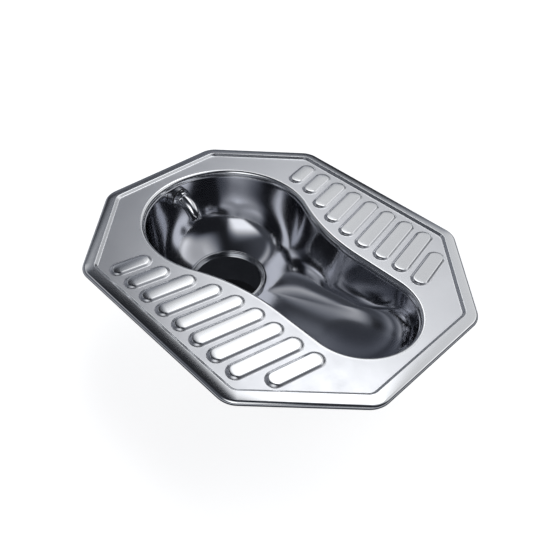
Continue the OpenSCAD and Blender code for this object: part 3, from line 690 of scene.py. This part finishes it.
def floor_surface():
    """A level floor with a pipe's mouth under the outlet: loops of growing radius round the
    pipe's axis, which start at the pipe's closed bottom and go up its wall. The grid lists all
    its first half cells before its second ones, so the pipe's two rows of cells are the first
    ones of each half."""
    radius = np.array([0.0, PIPE_R, PIPE_R, PIPE_R + PIPE_ROUND, 0.4, 1.5, 9.0])
    depth = np.array([PIPE_DEPTH, PIPE_DEPTH, PIPE_ROUND, 0.0, 0.0, 0.0, 0.0])
    loops = radius[:, None, None] * unit(AROUND) + [PIPE_X, 0]
    points, tris = grid(lift(loops, FLOOR_Z - depth))
    return points, tris, (np.arange(len(tris)) % (len(tris) // 2)) < 2 * len(AROUND)


points, tris, painted_shade_in_pipe = floor_surface()
floor_mesh = bpy.data.meshes.new("studio_floor")
floor_mesh.from_pydata(points.tolist(), [], tris[:, ::-1].tolist())
floor_mesh.materials.append(plain("pale floor", (0.93, 0.93, 0.93), 0.9, 0.85))
# The pipe's faces are near-black with no glow of their own: painted shade for the dark inside the
# drain.
floor_mesh.materials.append(plain("soil pipe", (0.02, 0.02, 0.022), 0.6))
floor_mesh.polygons.foreach_set("material_index", painted_shade_in_pipe.astype(np.int32))
floor = bpy.data.objects.new("studio_floor", floor_mesh)
bpy.context.scene.collection.objects.link(floor)
floor.visible_glossy = False

# ---------------------------------------------------------------- lights

# Heights of a direction's unit vector, where 0 is level and -1 is straight down: where a light
# starts and where it is full. The softboxes start at the horizon. The cards round the floor lie
# between two such steps, and the card under the object is weaker by its share. Slopes are taken
# over the least height or more.
BOXES_FROM, UNDER_FROM = (0.0, 0.06), (-0.75, -0.98)
CARDS_UP_FROM, CARDS_DOWN_FROM = (-0.5, -0.2), (0.12, 0.0)
UNDER_SHARE, LEAST_HEIGHT = 0.45, 0.02

# Light of this strength or more is white.
WHITE_AT = 0.7


def softbox_group():
    """One rectangular softbox overhead. Across and Along are slopes of a direction (its x or y
    over its z) from the box's middle. On each, light falls from full to none as a smooth step
    that is centred on the half size and as wide as twice the softness."""
    axes = ("Across", "Along")
    labels = [axis + size for size in ("", " Half Size", " Softness") for axis in axes]
    tree, given, out = group_tree(
        "softbox", [(label, "Float") for label in labels + ["Strength"]], [("Light", "Float")])
    light = given["Strength"]
    for axis in axes:
        half, soft = given[axis + " Half Size"], given[axis + " Softness"]
        none, full = math_node(tree, "ADD", half, soft), math_node(tree, "SUBTRACT", half, soft)
        step = ramp(tree, math_node(tree, "ABSOLUTE", given[axis]), none, full)
        light = math_node(tree, "MULTIPLY", light, step)
    feed(tree, light, out["Light"])
    return tree


def softboxes(tree, slopes, boxes):
    """The sum of the softboxes' light. Each box is (turn in degrees, middle, half size, softness,
    strength), in slopes, and its Across and Along axes are X and Y, turned by its turn."""
    shape, total = softbox_group(), 0.0
    for turn, middle, half, soft, strength in boxes:
        c, s = float(np.cos(np.radians(turn))), float(np.sin(np.radians(turn)))
        sides = [math_node(tree, "SUBTRACT", v, m) for v, m in zip(slopes, middle)]
        box = tree.nodes.new("ShaderNodeGroup")
        box.node_tree = shape
        for name, weights in (("Across", (c, s)), ("Along", (-s, c))):
            shares = [math_node(tree, "MULTIPLY", v, w) for v, w in zip(sides, weights)]
            feed(tree, math_node(tree, "ADD", *shares), box.inputs[name])
        for value, socket in zip((*half, *soft, strength), box.inputs[2:]):
            socket.default_value = value
        total = math_node(tree, "ADD", box.outputs["Light"], total)
    return total


def studio_light(boxes, dim, cards):
    """A dim studio with softboxes overhead, pale cards round the floor and under the object, and
    white for the camera behind the object. Weak light is bluer than strong light."""
    world = bpy.data.worlds.new("studio")
    world.use_nodes = True
    tree = world.node_tree
    place = tree.nodes.new("ShaderNodeTexCoord")
    axis = tree.nodes.new("ShaderNodeSeparateXYZ")
    feed(tree, place.outputs["Generated"], axis.inputs["Vector"])
    height = axis.outputs["Z"]
    up = math_node(tree, "MAXIMUM", height, LEAST_HEIGHT)
    slopes = [math_node(tree, "DIVIDE", axis.outputs[k], up) for k in ("X", "Y")]
    overhead = math_node(tree, "MULTIPLY", softboxes(tree, slopes, boxes),
                         ramp(tree, height, *BOXES_FROM))
    beside = math_node(tree, "MULTIPLY", ramp(tree, height, *CARDS_UP_FROM),
                       ramp(tree, height, *CARDS_DOWN_FROM))
    under = math_node(tree, "MULTIPLY", ramp(tree, height, *UNDER_FROM), UNDER_SHARE)
    low = math_node(tree, "MULTIPLY", math_node(tree, "ADD", beside, under), cards)
    total = math_node(tree, "ADD", math_node(tree, "ADD", low, overhead), dim)
    light = tree.nodes["Background"]
    blue, white = (0.78, 0.84, 1.0, 1.0), (0.97, 0.98, 1.0, 1.0)
    feed(tree, mixed(tree, ramp(tree, total, 0.0, WHITE_AT), blue, white), light.inputs["Color"])
    feed(tree, total, light.inputs["Strength"])
    backdrop = tree.nodes.new("ShaderNodeBackground")
    backdrop.inputs["Color"].default_value = (1.0, 1.0, 1.0, 1.0)
    seen = tree.nodes.new("ShaderNodeLightPath")
    mix = tree.nodes.new("ShaderNodeMixShader")
    feed(tree, seen.outputs["Is Camera Ray"], mix.inputs["Fac"])
    feed(tree, light.outputs["Background"], mix.inputs[1])
    feed(tree, backdrop.outputs["Background"], mix.inputs[2])
    feed(tree, mix.outputs["Shader"], tree.nodes["World Output"].inputs["Surface"])
    bpy.context.scene.world = world


studio_light([
    (-25, (-0.05, 1.0), (1.0, 0.65), (0.3, 0.25), 0.6),
    (-22, (-0.35, 0.52), (0.5, 0.2), (0.42, 0.07), 1.3),
    (-40, (0.7, -1.42), (0.85, 0.5), (0.4, 0.18), 1.5),
    (-26, (-1.35, 1.35), (0.35, 0.2), (0.4, 0.3), 0.5),
    (-40, (0.2, 2.0), (1.5, 0.5), (0.4, 0.35), 0.7),
    (15, (-1.12, -0.05), (0.07, 0.75), (0.18, 0.4), 0.85),
    (90, (-2.2, 0.1), (1.5, 0.3), (2.5, 0.35), 0.3),
    (70, (-4.9, -1.5), (2.6, 6.0), (0.3, 8.0), 0.1),
    (0, (-5.5, 1.5), (1.5, 3.5), (1.5, 2.0), 0.35),
    (45, (3.4, -3.4), (2.2, 1.2), (0.8, 0.7), 0.7),
], dim=0.022, cards=0.4)

# ---------------------------------------------------------------- camera, in metres

# It stands about 43 degrees above the horizon and 43 degrees round from the -Y side towards +X.
CAMERA_AT, FOCAL_MM, FILM_MM = (0.4575, -0.4798, 0.5701), 40.4, 36.0
RIGHT = (0.70186, 0.71099, 0.04342)
UP = (-0.50818, 0.45715, 0.73006)
BACK = (0.49918, -0.53442, 0.68206)

lens = bpy.data.cameras.new("camera")
lens.lens, lens.sensor_width, lens.clip_start = FOCAL_MM, FILM_MM, 0.01
camera = bpy.data.objects.new("camera", lens)
bpy.context.scene.collection.objects.link(camera)
axes = Matrix((RIGHT, UP, BACK)).transposed().to_4x4()
camera.matrix_world = Matrix.Translation(CAMERA_AT) @ axes
bpy.context.scene.camera = camera
bpy.context.scene.view_settings.view_transform = "Standard"
